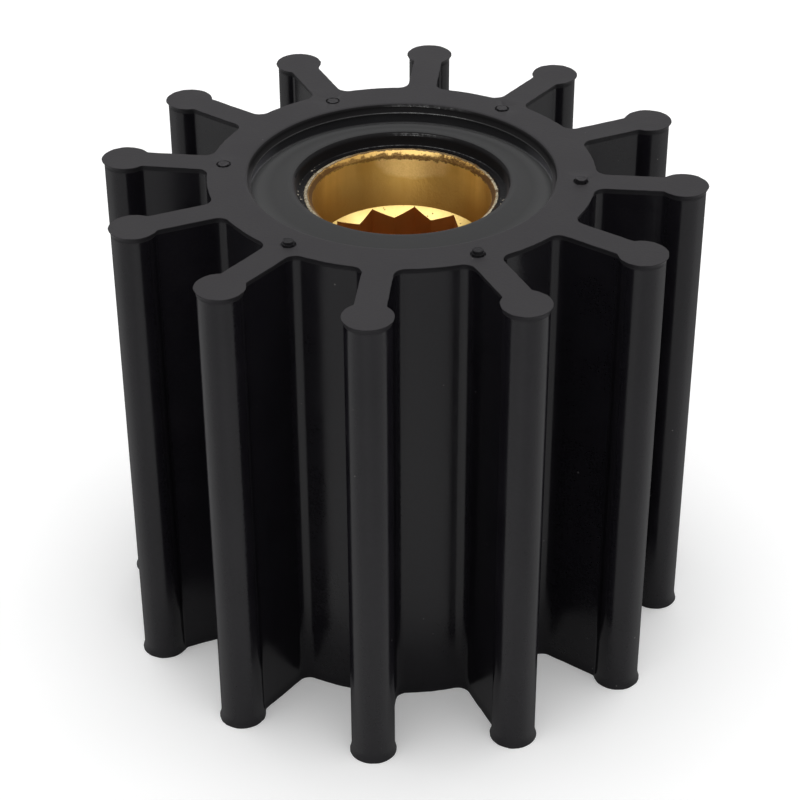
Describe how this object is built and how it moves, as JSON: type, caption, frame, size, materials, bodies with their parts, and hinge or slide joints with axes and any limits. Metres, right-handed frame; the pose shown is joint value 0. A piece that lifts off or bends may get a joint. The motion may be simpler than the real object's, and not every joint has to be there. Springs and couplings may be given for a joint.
{
  "type": "pump impeller",
  "caption": "Flexible-vane pump impeller: a moulded rubber hub with straight bead-tipped vanes, bonded round a brass insert with a counterbore and a splined driving hole.",
  "frame": {"origin": "centre of the lower end face, on the shaft axis", "axes": "+Z along the shaft axis towards the recessed upper face; +X along one vane, from the hub to its bead"},
  "size_m": [0.0952, 0.0952, 0.0811],
  "materials": {
    "rubber": "moulded black nitrile rubber, satin on the sides and matte on the end faces",
    "brass": "turned and broached brass, satin with fine tool marks and a tarnished rim"
  },
  "bodies": {
    "root": {"rubber_body": "rubber", "brass_insert": "brass"}
  },
  "joints": []
}
